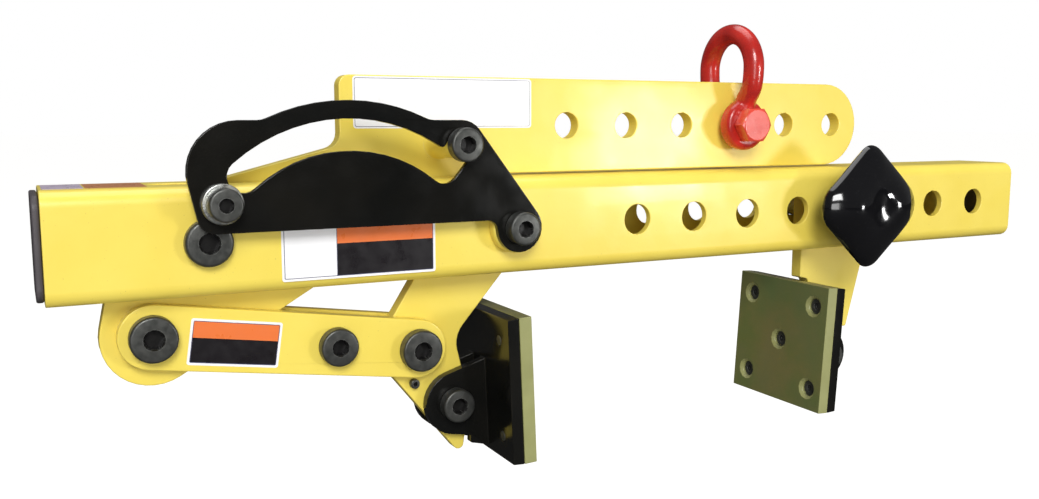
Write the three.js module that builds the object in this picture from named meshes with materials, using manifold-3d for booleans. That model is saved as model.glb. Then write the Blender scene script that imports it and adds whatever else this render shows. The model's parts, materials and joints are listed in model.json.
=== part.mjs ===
// Plate lifting clamp: a square beam with a lift arm, a linked moving jaw and an adjustable fixed jaw.
// Millimetres, +Z up, +X along the beam from the moving jaw towards the fixed jaw, -Y the latch side.
// The origin is the centre of the left end plug's outer face, on the beam's axis.
import * as THREE from 'three';
import { mergeVertices } from 'three/addons/utils/BufferGeometryUtils.js';
import Module from 'manifold-3d';

const wasm = await Module();
wasm.setup();

// ---------------------------------------------------------------- driving dimensions

const INCH = 25.4;
const seat = 0.3; // clearance between pieces that touch
const roundSides = 20; // sides of a turned piece
const holeSides = 24; // sides of the large plain holes
const chordError = 0.15; // how far a drawn arc may stray from the true one

const beam = { side: 3 * INCH, wall: 0.25 * INCH, corner: 11, length: 36 * INCH, start: 5 };
const beamHole = { first: 454, pitch: 2.3 * INCH, count: 8, radius: 0.5 * INCH };

const plate = { thick: 0.5 * INCH, link: 0.375 * INCH, ear: 8, latch: 4.8 };
const running = 0.85; // side clearance between plates that turn on each other

const armPivot = [106.5, 0];
const jawPivot = [336.5, 0];
const linkArmPin = [70.5, -66.5];
const linkJawPin = [266, -95.2];
const movingJawPin = [297, -143.5];
const fixedJawPin = [692.7, -146.2];
const rollerPin = [288.5, 64.3];

const arm = { height: 3 * INCH, restGap: 1.6, left: 209.5, right: 727, holeRadius: 10.9 };
const armHole = { first: 403.4, pitch: beamHole.pitch, count: 6 };
const shackleHole = 3; // the arm hole that carries the shackle
const legHole = 4; // the beam hole that carries the fixed leg

const jaw = { width: 122, height: 117.5, rise: 14.5, face: 48.4, pad: 11, backing: 9.5 };
const screwOffset = { across: 42.8, up: 39 };
const screw = { shank: 4, head: 7, sunk: 4, socket: 3.4, mouth: 10.2, bore: 7.4, mouthDepth: 2.5 };
const screwSides = 12;
const movingTilt = THREE.MathUtils.degToRad(-2.5); // clockwise positive, seen from the latch side
const fixedTilt = THREE.MathUtils.degToRad(3.5);

const bolt = { shank: 9.5, head: 16.2, headHeight: 10, socket: 8, nutFlats: 28, nutHeight: 12 };
const smallBolt = { shank: 8, head: 13.5, headHeight: 10, socket: 6, nutFlats: 24, nutHeight: 10 };
const linkSlack = 2.5; // radial room around the jaw end's bolt, where the linkage is opened

const pivotSpacer = 16; // radius of the sleeves beside a plate inside the beam
const stopPin = [264.8, -124.7]; // small screw in the jaw lever's face
const stopScrew = { shank: 2.6, head: 3.8, headHeight: 5, socket: 1.6 };

const slotWidth = plate.thick + 2.4;
const slots = { armAbove: [74, 342], armBelow: [30, 214], lever: [256, 370], leg: [424, 884] };

const latchGap = 9.9; // from the beam's side to the back of the latch plate
const laneCentre = [203, -41]; // centre of the latch window's long arc
const lane = { radius: 113.2, half: 11.2, leftDeg: 130.7, rightDeg: 51, rim: 12.9 };

const shackle = { body: 9, spread: 31.2, gap: 26.9, eye: 22.5, eyeThick: 13, pin: 9.5, crown: 90.5 };
const shackleBolt = { flats: 28.6, headHeight: 12, nutHeight: 14, tail: 12 };
const cotter = { radius: 1.6, length: 30 };

// ---------------------------------------------------------------- values worked out from them

const half = beam.side / 2;
const inside = half - beam.wall;
const beamEnd = beam.start + beam.length;
const armAxis = half + arm.restGap + arm.height / 2;
const shackleX = armHole.first + shackleHole * armHole.pitch;
const legPinX = beamHole.first + legHole * beamHole.pitch;
const sideInner = plate.thick / 2 + running; // where a link plate or a jaw ear begins
const linkOuter = sideInner + plate.link;
const earOuter = sideInner + plate.ear;
const latchBack = -(half + latchGap);
const latchFront = latchBack - plate.latch;

// ---------------------------------------------------------------- solids

function toSolid(geometry) {
  const bare = geometry.clone();
  bare.deleteAttribute('normal');
  bare.deleteAttribute('uv');
  const merged = mergeVertices(bare, 1e-4);
  const mesh = new wasm.Mesh({
    numProp: 3,
    vertProperties: new Float32Array(merged.attributes.position.array),
    triVerts: new Uint32Array(merged.index.array),
  });
  return new wasm.Manifold(mesh);
}

function toGeometry(solid) {
  const mesh = solid.getMesh();
  const geometry = new THREE.BufferGeometry();
  geometry.setAttribute('position', new THREE.BufferAttribute(mesh.vertProperties, 3));
  geometry.setIndex(new THREE.BufferAttribute(mesh.triVerts, 1));
  geometry.computeVertexNormals();
  return geometry;
}

function carve(geometry, cutters) {
  return toGeometry(cutters.reduce((solid, cutter) => solid.subtract(toSolid(cutter)), toSolid(geometry)));
}

function join(geometries) {
  return toGeometry(geometries.map(toSolid).reduce((a, b) => a.add(b)));
}

// A round bar along Y between two Y values.
function rodY([x, z], y0, y1, radius, sides = roundSides) {
  return new THREE.CylinderGeometry(radius, radius, y1 - y0, sides).translate(x, (y0 + y1) / 2, z);
}

// A block with a rounded end at each side, standing along Z: the cutter for a slot through a wall.
function slotZ(x0, x1, width, z0, z1) {
  const shape = outline([[x0 + width / 2, 0, width / 2], [x1 - width / 2, 0, width / 2]]);
  const geometry = new THREE.ExtrudeGeometry(shape, { depth: z1 - z0, bevelEnabled: false });
  return geometry.translate(0, 0, z0);
}

// A closed outline that wraps, counter-clockwise, round a list of circles [x, y, r].
// Straight tangents join them. A negative radius is a hollow corner, and zero is a sharp one.
function outline(circles, Kind = THREE.Shape) {
  const headings = circles.map(([x, y, r], i) => {
    const [nextX, nextY, nextR] = circles[(i + 1) % circles.length];
    const sine = THREE.MathUtils.clamp((nextR - r) / Math.hypot(nextX - x, nextY - y), -1, 1);
    return Math.atan2(nextY - y, nextX - x) - Math.asin(sine);
  });
  const points = circles.flatMap(([x, y, r], i) => {
    const arrive = headings.at(i - 1);
    const fullTurn = 2 * Math.PI;
    const turn = r >= 0
      ? THREE.MathUtils.euclideanModulo(headings[i] - arrive, fullTurn)
      : -THREE.MathUtils.euclideanModulo(arrive - headings[i], fullTurn);
    return arcPoints([x, y], r, arrive - Math.PI / 2, turn);
  });
  return new Kind(points);
}

// Points on an arc, close enough together for its chords to stay within chordError of it.
function arcPoints([x, y], r, start, turn) {
  if (r === 0) return [new THREE.Vector2(x, y)];
  const step = 2 * Math.acos(1 - Math.min(1, chordError / Math.abs(r)));
  const steps = Math.max(1, Math.ceil(Math.abs(turn) / step));
  return Array.from({ length: steps + 1 }, (_, i) => {
    const angle = start + (turn * i) / steps;
    return new THREE.Vector2(x + r * Math.cos(angle), y + r * Math.sin(angle));
  });
}

function circleHole(x, y, radius, sides = roundSides) {
  const at = (i) => (-2 * Math.PI * i) / sides;
  return new THREE.Path(Array.from({ length: sides }, (_, i) => (
    new THREE.Vector2(x + radius * Math.cos(at(i)), y + radius * Math.sin(at(i))))));
}

// A flat plate drawn in X and Z, between two Y values.
function plateY(shape, y0, y1) {
  const geometry = new THREE.ExtrudeGeometry(shape, { depth: y1 - y0, bevelEnabled: false });
  return geometry.rotateX(Math.PI / 2).translate(0, y1, 0);
}

// A piece drawn across the beam (Y across, Z up), running along X from x0.
function alongX(shape, x0, length) {
  const geometry = new THREE.ExtrudeGeometry(shape, { depth: length, bevelEnabled: false });
  const turn = new THREE.Matrix4().makeBasis(
    new THREE.Vector3(0, 1, 0), new THREE.Vector3(0, 0, 1), new THREE.Vector3(1, 0, 0));
  return geometry.applyMatrix4(turn).translate(x0, 0, 0);
}

function roundedSquare(side, radius, Kind = THREE.Shape) {
  const c = side / 2 - radius;
  return outline([[-c, -c, radius], [c, -c, radius], [c, c, radius], [-c, c, radius]], Kind);
}

// A turned piece about an axis along Y: profile points are [radius, y] with y rising.
function turnedY([x, z], profile, sides = roundSides) {
  return new THREE.LatheGeometry(profile.map(([r, y]) => new THREE.Vector2(r, y)), sides).translate(x, 0, z);
}

// A ring along Y between two Y values.
function sleeveY(centre, y0, y1, radius, bore) {
  return carve(rodY(centre, y0, y1, radius), [rodY(centre, y0 - 1, y1 + 1, bore)]);
}

// A socket-head bolt along Y. Its head sits against the -Y side at seatY and its tail ends at tailY.
function socketBolt(centre, seatY, tailY, kind) {
  const bevel = 2;
  const front = seatY - kind.headHeight;
  const body = turnedY(centre, [
    [0, front], [kind.head - bevel, front], [kind.head, front + bevel], [kind.head, seatY],
    [kind.shank, seatY], [kind.shank, tailY], [0, tailY],
  ]);
  return carve(body, [rodY(centre, front - 1, front + kind.headHeight * 0.6, kind.socket, 6)]);
}

// A hexagon nut along Y on a shank, against the +Y side at seatY.
function hexNut(centre, seatY, height, flats, shank) {
  const corner = flats / Math.sqrt(3);
  return carve(rodY(centre, seatY, seatY + height, corner, 6),
    [rodY(centre, seatY - 1, seatY + height + 1, shank + seat / 2)]);
}

// ---------------------------------------------------------------- materials and nodes

const finishes = {
  yellowPaint: { color: 0xf5dc5e, roughness: 0.42, metalness: 0 },
  blackPaint: { color: 0x1b1a1a, roughness: 0.35, metalness: 0 },
  blackSteel: { color: 0x4a4d4e, roughness: 0.45, metalness: 0.8 },
  zinc: { color: 0x9a9c98, roughness: 0.4, metalness: 0.9 },
  redPaint: { color: 0xc42a22, roughness: 0.3, metalness: 0 },
  friction: { color: 0x5f6434, roughness: 0.6, metalness: 0 },
  blackKnob: { color: 0x0a0a0b, roughness: 0.12, metalness: 0 },
  greyPlastic: { color: 0x4b464b, roughness: 0.6, metalness: 0 },
};

function piece(name, finish, geometry) {
  const mesh = new THREE.Mesh(geometry, new THREE.MeshStandardMaterial(finishes[finish]));
  mesh.name = name;
  return mesh;
}

// ---------------------------------------------------------------- beam

function beamTube() {
  const section = roundedSquare(beam.side, beam.corner);
  section.holes.push(roundedSquare(2 * inside, beam.corner - beam.wall, THREE.Path));
  const through = (centre, radius, sides) => rodY(centre, -half - 1, half + 1, radius, sides);
  const cutters = [through(armPivot, bolt.shank + seat), through(jawPivot, bolt.shank + seat)];
  for (let i = 0; i < beamHole.count; i += 1) {
    cutters.push(through([beamHole.first + i * beamHole.pitch, 0], beamHole.radius, holeSides));
  }
  const top = [inside - 1, half + 1];
  const bottom = [-half - 1, -inside + 1];
  cutters.push(slotZ(...slots.armAbove, slotWidth, ...top));
  cutters.push(slotZ(...slots.armBelow, slotWidth, ...bottom));
  cutters.push(slotZ(...slots.lever, slotWidth, ...bottom));
  cutters.push(slotZ(...slots.leg, slotWidth, ...bottom)); // serves the leg in any of its holes
  return carve(alongX(section, beam.start, beam.length), cutters);
}

// The left plug has a flange that covers the tube's end. The right plug sits inside the tube.
function endPlug(start, length) {
  return alongX(roundedSquare(2 * (inside - seat), beam.corner - beam.wall), start, length);
}

function leftPlug() {
  const flange = beam.start - seat;
  const stub = 18;
  return join([
    alongX(roundedSquare(beam.side - 6, beam.corner - 1), 0, flange),
    endPlug(flange - 1, stub),
  ]);
}

function rightPlug() {
  const depth = 18;
  const recess = 1.5; // how far the plug's face lies inside the tube's end
  return endPlug(beamEnd - recess - depth, depth);
}

function beamPieces() {
  const bossFront = latchBack + seat;
  const bossRadius = 20;
  return [
    piece('beam_tube', 'yellowPaint', beamTube()),
    piece('end_plug_left', 'greyPlastic', leftPlug()),
    piece('end_plug_right', 'greyPlastic', rightPlug()),
    piece('jaw_pivot_boss', 'yellowPaint',
      sleeveY(jawPivot, bossFront, -half - seat, bossRadius, bolt.shank + seat)),
  ];
}

// ---------------------------------------------------------------- pivots in the beam

// The bolt, nut and two inner spacer sleeves that hold a plate in the middle of the beam.
function beamPivot(name, centre, seatY, headKind) {
  const back = half + seat;
  const spacer = (y0, y1) => sleeveY(centre, y0, y1, pivotSpacer, headKind.shank + seat);
  const plateFace = plate.thick / 2 + seat;
  return [
    piece(`${name}_bolt`, 'blackSteel', socketBolt(centre, seatY, back + headKind.nutHeight + 3, headKind)),
    piece(`${name}_nut`, 'blackSteel',
      hexNut(centre, back, headKind.nutHeight, headKind.nutFlats, headKind.shank)),
    piece(`${name}_spacer_front`, 'zinc', spacer(-inside + seat, -plateFace)),
    piece(`${name}_spacer_back`, 'zinc', spacer(plateFace, inside - seat)),
  ];
}

const armPivotBolt = { ...bolt, headHeight: 8 };
const jawPivotBolt = { ...bolt, head: 12.8, socket: 6 };

// ---------------------------------------------------------------- lift arm

function liftArm() {
  const top = armAxis + arm.height / 2;
  const bottom = armAxis - arm.height / 2;
  const endRadius = arm.height / 2;
  const shape = outline([
    [linkArmPin[0] + 1.5, linkArmPin[1] - 1.5, 35], // rounded foot round the link pin
    [333, bottom - 20, -20], // hollow where the sloping underside meets the bar
    [arm.right - endRadius, armAxis, endRadius], // round end of the bar
    [arm.left + 8, top - 8, 8], // top left corner
    [arm.left - 12, 73, -12], // hollow above the beam
    [74, 6, 22], // shoulder inside the beam
  ]);
  for (let i = 0; i < armHole.count; i += 1) {
    shape.holes.push(circleHole(armHole.first + i * armHole.pitch, armAxis, arm.holeRadius, holeSides));
  }
  shape.holes.push(circleHole(...armPivot, bolt.shank + seat));
  shape.holes.push(circleHole(...linkArmPin, bolt.shank + seat));
  return plateY(shape, -plate.thick / 2, plate.thick / 2);
}

// The roller is a boss that reaches from the arm to the latch, with a bolt head in front of the latch.
// Its shank through the latch window is left out, so that the latch can swing past it.
function armPieces() {
  const boss = 10.5;
  const thinHead = { ...smallBolt, head: 12.7, shank: smallBolt.shank + 2 };
  return [
    piece('lift_arm', 'yellowPaint', liftArm()),
    piece('latch_roller_boss', 'yellowPaint',
      rodY(rollerPin, latchBack + seat, -plate.thick / 2 - seat, boss)),
    piece('latch_roller_bolt', 'blackSteel',
      socketBolt(rollerPin, latchFront - seat - 1, latchFront - seat, thinHead)),
  ];
}

// ---------------------------------------------------------------- shackle

// The bow: two forged eyes with a rod that rises from them and closes over the top.
function shackleBow() {
  const eyeMid = shackle.gap / 2 + shackle.eyeThick / 2;
  const crownCentre = armAxis + shackle.crown - shackle.body - shackle.spread;
  const leg = [[eyeMid, armAxis + 8], [eyeMid + 1, armAxis + 20], [shackle.spread - 2, crownCentre - 17]];
  const crownSteps = 8;
  const crown = Array.from({ length: crownSteps + 1 }, (_, i) => {
    const angle = Math.PI - (i * Math.PI) / crownSteps;
    return [shackle.spread * Math.cos(angle), crownCentre + shackle.spread * Math.sin(angle)];
  });
  const points = [...leg.map(([y, z]) => [-y, z]), ...crown, ...leg.reverse()];
  const curve = new THREE.CatmullRomCurve3(points.map(([y, z]) => new THREE.Vector3(shackleX, y, z)));
  const ring = new THREE.Shape();
  ring.absarc(0, 0, shackle.body, 0, 2 * Math.PI, false);
  const rod = new THREE.ExtrudeGeometry(ring, { steps: 26, extrudePath: curve, curveSegments: 7 });
  const centre = [shackleX, armAxis];
  const eye = (y0, y1) => rodY(centre, y0, y1, shackle.eye);
  const gap = shackle.gap / 2;
  const outer = gap + shackle.eyeThick;
  const clear = outer + shackle.spread;
  return carve(join([rod, eye(-outer, -gap), eye(gap, outer)]), [
    rodY(centre, -clear, clear, shackle.pin + seat),
    rodY(centre, -gap, gap, shackle.eye + 2),
    rodY(centre, -clear, -outer, shackle.eye - 1), // flat seats for the bolt's head and nut
    rodY(centre, outer, clear, shackle.eye - 1),
  ]);
}

// The split pin's rod, or its hole, across the shackle bolt just beyond the nut.
function cotterRod(radius, length, y) {
  return new THREE.CylinderGeometry(radius, radius, length, 12)
    .rotateZ(Math.PI / 2).translate(shackleX, y, armAxis);
}

function shacklePieces() {
  const centre = [shackleX, armAxis];
  const outer = shackle.gap / 2 + shackle.eyeThick + seat;
  const nutFace = outer + shackleBolt.nutHeight;
  const cotterY = nutFace + shackleBolt.tail / 2 - 1;
  const hexCorner = shackleBolt.flats / Math.sqrt(3);
  const hexHead = new THREE.CylinderGeometry(hexCorner, hexCorner, shackleBolt.headHeight, 6)
    .rotateY(Math.PI / 6) // a corner on each side, left and right
    .translate(shackleX, -outer - shackleBolt.headHeight / 2, armAxis);
  const shank = carve(rodY(centre, -outer - 1, nutFace + shackleBolt.tail, shackle.pin),
    [cotterRod(cotter.radius + seat, 3 * shackle.pin, cotterY)]);
  return [
    piece('shackle_bow', 'redPaint', shackleBow()),
    piece('shackle_bolt', 'redPaint', join([hexHead, shank])),
    piece('shackle_nut', 'zinc',
      hexNut(centre, outer, shackleBolt.nutHeight, shackleBolt.flats, shackle.pin)),
    piece('shackle_cotter', 'zinc', cotterRod(cotter.radius, cotter.length, cotterY)),
  ];
}

// ---------------------------------------------------------------- link

const spacerAt = 0.665; // place of the link's spacer along its length
const linkSpacer = linkArmPin.map((value, i) => value + spacerAt * (linkJawPin[i] - value));

function linkPlate(y0, y1) {
  const end = 23;
  const shape = outline([[...linkArmPin, end], [...linkJawPin, end]]);
  shape.holes.push(circleHole(...linkArmPin, bolt.shank + seat));
  shape.holes.push(circleHole(...linkSpacer, smallBolt.shank + seat));
  shape.holes.push(circleHole(...linkJawPin, bolt.shank + seat));
  return plateY(shape, y0, y1);
}

// A bolt through both link plates with its nut at the back.
function throughBolt(name, centre, outer, kind) {
  return [
    piece(`${name}_bolt`, 'blackSteel', socketBolt(centre, -outer - seat, outer + kind.nutHeight + 3, kind)),
    piece(`${name}_nut`, 'blackSteel',
      hexNut(centre, outer + seat, kind.nutHeight, kind.nutFlats, kind.shank)),
  ];
}

function linkPieces() {
  const spacerBolt = { ...smallBolt, head: 14.3, socket: 7 };
  return [
    piece('link_front', 'yellowPaint', linkPlate(-linkOuter, -sideInner)),
    piece('link_back', 'yellowPaint', linkPlate(sideInner, linkOuter)),
    piece('link_spacer', 'zinc',
      sleeveY(linkSpacer, -sideInner + seat, sideInner - seat, 13, smallBolt.shank + seat)),
    ...throughBolt('link_spacer', linkSpacer, linkOuter, spacerBolt),
    ...throughBolt('link_arm', linkArmPin, linkOuter, bolt),
    ...throughBolt('link_jaw', linkJawPin, linkOuter, bolt),
  ];
}

// ---------------------------------------------------------------- jaw lever

function jawLever() {
  const shape = outline([
    [...jawPivot, 28], // round head inside the beam
    [302, -8.5, 12], // shoulder inside the beam
    [...linkJawPin, 28.3], // elbow round the link pin
    [303.6, -180.5, 4.5], // finger tip below the jaw
    [...movingJawPin, 16], // round the moving jaw's pin
    [324.5, -96.5, -22], // hollow behind the pad
    [343.4, -35.5, 4], // corner below the beam
  ]);
  shape.holes.push(circleHole(...jawPivot, bolt.shank + seat));
  shape.holes.push(circleHole(...linkJawPin, bolt.shank + linkSlack));
  shape.holes.push(circleHole(...movingJawPin, bolt.shank + seat));
  shape.holes.push(circleHole(...stopPin, stopScrew.shank + seat));
  return plateY(shape, -plate.thick / 2, plate.thick / 2);
}

function jawLeverPieces() {
  return [
    piece('jaw_lever', 'yellowPaint', jawLever()),
    piece('jaw_stop_screw', 'blackSteel',
      socketBolt(stopPin, -plate.thick / 2 - seat, plate.thick / 2, stopScrew)),
  ];
}

// ---------------------------------------------------------------- jaws

// A jaw is drawn about its own pin, with its pad towards +X; the fixed jaw is turned end for end.
function jawBracket() {
  const back = jaw.face - jaw.pad - jaw.backing;
  const low = jaw.rise - jaw.height / 2;
  const ear = outline([
    [1, 0, 25.6], // round the pin
    [12.6, -28.8, 0],
    [12.2, -35.2, 0], // notch
    [back + 1, low + 4, 0],
    [back + 1, 33.5, 0],
  ]);
  ear.holes.push(circleHole(0, 0, bolt.shank + seat));
  const square = outline([
    [back, low + 1, 0], [back + jaw.backing, low, 0],
    [back + jaw.backing, low + jaw.height, 0], [back, low + jaw.height - 1, 0],
  ]);
  const cutters = screwPlaces().map(([y, z]) => (
    screwBore(back - 1, back + jaw.backing + 1, screw.shank + seat, y, z)));
  return carve(join([
    plateY(square, -jaw.width / 2, jaw.width / 2),
    plateY(ear, -earOuter, -sideInner),
    plateY(ear, sideInner, earOuter),
  ]), cutters);
}

function screwPlaces() {
  const { across, up } = screwOffset;
  return [[-across, up], [across, up], [0, 0], [-across, -up], [across, -up]]
    .map(([y, z]) => [y, z + jaw.rise]);
}

function screwBore(x0, x1, radius, y, z, mouth = radius) {
  return new THREE.CylinderGeometry(mouth, radius, x1 - x0, screwSides)
    .rotateZ(-Math.PI / 2).translate((x0 + x1) / 2, y, z);
}

function jawPad() {
  const back = jaw.face - jaw.pad + seat;
  const block = new THREE.BoxGeometry(jaw.face - back, jaw.width, jaw.height)
    .translate((jaw.face + back) / 2, 0, jaw.rise);
  const over = 1;
  const slope = (screw.mouth - screw.bore) / screw.mouthDepth;
  const cutters = screwPlaces().flatMap(([y, z]) => [
    screwBore(back - over, jaw.face + over, screw.bore, y, z),
    screwBore(jaw.face - screw.mouthDepth, jaw.face + over, screw.bore, y, z, screw.mouth + slope * over),
  ]);
  return carve(block, cutters);
}

function padScrew(y, z) {
  const front = jaw.face - screw.sunk;
  const seatX = jaw.face - jaw.pad + 2 * seat;
  const head = screwBore(seatX, front, screw.head, 0, 0);
  const shank = screwBore(jaw.face - jaw.pad - jaw.backing, seatX + 1, screw.shank, 0, 0);
  const socket = new THREE.CylinderGeometry(screw.socket, screw.socket, 6, 6)
    .rotateZ(-Math.PI / 2).translate(front, 0, 0);
  return carve(join([head, shank]), [socket]).translate(0, y, z);
}

function jawGroup(name, pin, turn, tilt) {
  const group = new THREE.Group();
  group.position.set(pin[0], 0, pin[1]);
  group.rotation.set(0, tilt, turn);
  const jawBolt = { ...bolt, head: 13.3 };
  group.add(
    piece(`${name}_bracket`, 'blackPaint', jawBracket()),
    piece(`${name}_pad`, 'friction', jawPad()),
    ...screwPlaces().map(([y, z], i) => piece(`${name}_pad_screw_${i + 1}`, 'blackSteel', padScrew(y, z))),
  );
  if (turn === 0) group.add(...throughBolt(name, [0, 0], earOuter, jawBolt));
  else group.add(...turned(throughBolt(name, [0, 0], earOuter, jawBolt)));
  return group;
}

// The same bolt and nut turned end for end, so that the head stays on the latch side.
function turned(pieces) {
  pieces.forEach((mesh) => mesh.geometry.rotateZ(Math.PI));
  return pieces;
}

// ---------------------------------------------------------------- fixed leg and its pin

const legPin = { radius: 11.9, bore: 12.7 };

function fixedLeg() {
  const top = inside - 0.9;
  const left = 664.4;
  const stepLevel = -122.5;
  const shape = outline([
    [fixedJawPin[0], fixedJawPin[1], 16], // round the fixed jaw's pin
    [716.5, stepLevel - 6, -6],
    [725.5, stepLevel + 1.5, 1.5], // step
    [760.5, top - 6, 6], // upper right corner, inside the beam
    [left + 6, top - 6, 6], // upper left corner, inside the beam
    [left + 1.5, -68, 1.5],
    [669, -75.5, -6], // notch that leaves room for the fixed jaw's top edge
  ]);
  shape.holes.push(circleHole(...fixedJawPin, bolt.shank + seat));
  shape.holes.push(circleHole(legPinX, 0, legPin.bore));
  return plateY(shape, -plate.thick / 2, plate.thick / 2);
}

const knob = { halfWidth: 59.5, thick: 25, corner: 9, back: -half - 26 };
const knobCentre = [legPinX - 2, 4]; // the knob sits a little high on its pin

// A cushion-shaped square knob standing on its corner.
function knobBody() {
  const reach = knob.halfWidth - knob.corner * Math.SQRT2;
  const layers = [[0, 0.9], [0.2, 1], [0.55, 0.93], [0.85, 0.72], [1, 0.42]];
  const ring = (scale) => outline([
    [0, -reach * scale, knob.corner * scale], [reach * scale, 0, knob.corner * scale],
    [0, reach * scale, knob.corner * scale], [-reach * scale, 0, knob.corner * scale],
  ]).getSpacedPoints(32).slice(0, 32);
  const rings = layers.map(([depth, scale]) => ring(scale)
    .map(({ x, y }) => [knobCentre[0] + x, knob.back - depth * knob.thick, knobCentre[1] + y]));
  return loft(rings);
}

// A closed solid through rings of equally many points, capped at both ends.
function loft(rings) {
  const count = rings[0].length;
  const points = rings.flat();
  const centreOf = (ring) => [0, 1, 2].map((k) => ring.reduce((sum, point) => sum + point[k], 0) / count);
  const first = points.push(centreOf(rings[0])) - 1;
  const last = points.push(centreOf(rings[rings.length - 1])) - 1;
  const faces = [];
  for (let i = 0; i < count; i += 1) {
    const j = (i + 1) % count;
    faces.push([first, j, i]);
    for (let level = 0; level + 1 < rings.length; level += 1) {
      const [a, b] = [level * count + i, level * count + j];
      faces.push([a, b, b + count], [a, b + count, a + count]);
    }
    const top = (rings.length - 1) * count;
    faces.push([top + i, top + j, last]);
  }
  const geometry = new THREE.BufferGeometry();
  geometry.setAttribute('position', new THREE.BufferAttribute(new Float32Array(points.flat()), 3));
  geometry.setIndex(faces.flat());
  geometry.computeVertexNormals();
  return geometry;
}

function legPieces() {
  const centre = [legPinX, 0];
  const collarFront = knob.back + seat;
  const collarBack = -half - seat;
  const nose = 5;
  const tip = half + 22;
  const shaft = turnedY(centre, [
    [0, collarFront], [16, collarFront], [16, collarBack], [legPin.radius, collarBack],
    [legPin.radius, tip - nose], [legPin.radius - nose, tip], [0, tip],
  ]);
  return {
    leg: piece('fixed_leg', 'yellowPaint', fixedLeg()),
    pin: [
      piece('adjust_pin', 'zinc', shaft),
      piece('adjust_knob', 'blackKnob', knobBody()),
    ],
  };
}

// ---------------------------------------------------------------- latch

const polar = ([x, y], radius, degrees) => {
  const angle = THREE.MathUtils.degToRad(degrees);
  return [x + radius * Math.cos(angle), y + radius * Math.sin(angle)];
};

const latchKnobAt = [114, 27];

function latchPlate() {
  const outer = lane.radius + lane.half;
  const archRadius = outer + lane.rim;
  const crest = 82.4; // height of the flats beside the arch
  const under = 6.8; // height of the lower edge
  const lobe = 19;
  const fillet = 15;
  const bend = Math.sqrt((archRadius + fillet) ** 2 - (crest + fillet - laneCentre[1]) ** 2);
  const neck = 8;
  const neckX = jawPivot[0] - Math.sqrt((lobe + neck) ** 2 - (under - neck) ** 2);
  const shape = outline([
    [...jawPivot, lobe],
    [...rollerPin, crest - rollerPin[1]],
    [laneCentre[0] + bend, crest + fillet, -fillet],
    [...laneCentre, archRadius],
    [laneCentre[0] - bend, crest + fillet, -fillet],
    [127, crest - 35, 35],
    [109.7, under + 12, 12],
    [neckX, under - neck, -neck],
  ]);
  const window = outline([
    [...polar(laneCentre, lane.radius, lane.leftDeg), lane.half],
    [...laneCentre, -(lane.radius - lane.half)],
    [...polar(laneCentre, lane.radius, lane.rightDeg), lane.half],
    [...rollerPin, lane.half], // hook that holds the roller while the clamp is empty
    [...polar(laneCentre, outer + 3.1, 56.8), -3],
    [...laneCentre, outer],
  ], THREE.Path);
  shape.holes.push(window);
  shape.holes.push(circleHole(...jawPivot, bolt.shank + seat));
  shape.holes.push(circleHole(...latchKnobAt, 4 + seat));
  return plateY(shape, latchFront, latchBack);
}

function latchPieces() {
  const front = latchFront - seat;
  const back = latchBack + seat;
  const knobProfile = [
    [0, front - 17], [10.6, front - 17], [11.6, front - 16], [11.6, front - 5],
    [13.8, front - 5], [13.8, front], [4, front], [4, back + 6], [0, back + 6],
  ];
  return [
    piece('latch_plate', 'blackPaint', latchPlate()),
    piece('latch_knob', 'zinc',
      carve(turnedY(latchKnobAt, knobProfile), [rodY(latchKnobAt, front - 18, front - 11, 4, 6)])),
    piece('latch_knob_nut', 'blackSteel', hexNut(latchKnobAt, back, 5, 13, 4)),
  ];
}

// ---------------------------------------------------------------- assembly

const clamp = new THREE.Group();
const { leg, pin } = legPieces();
clamp.add(
  ...beamPieces(),
  ...beamPivot('arm_pivot', armPivot, -half - seat, armPivotBolt),
  ...beamPivot('jaw_pivot', jawPivot, latchFront - seat, jawPivotBolt),
  ...armPieces(),
  ...shacklePieces(),
  ...linkPieces(),
  ...jawLeverPieces(),
  jawGroup('moving_jaw', movingJawPin, 0, movingTilt),
  leg,
  ...pin,
  jawGroup('fixed_jaw', fixedJawPin, Math.PI, fixedTilt),
  ...latchPieces(),
);

export default clamp;
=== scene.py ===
"""Plate lifting clamp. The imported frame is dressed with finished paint, steel, plastic and plain labels.

Lengths are in metres in the frame's own axes: +X along the beam, -Y the latch side, +Z up.
"""

import json
import math

import bmesh
import bpy
from mathutils import Euler, Matrix, Vector


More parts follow.
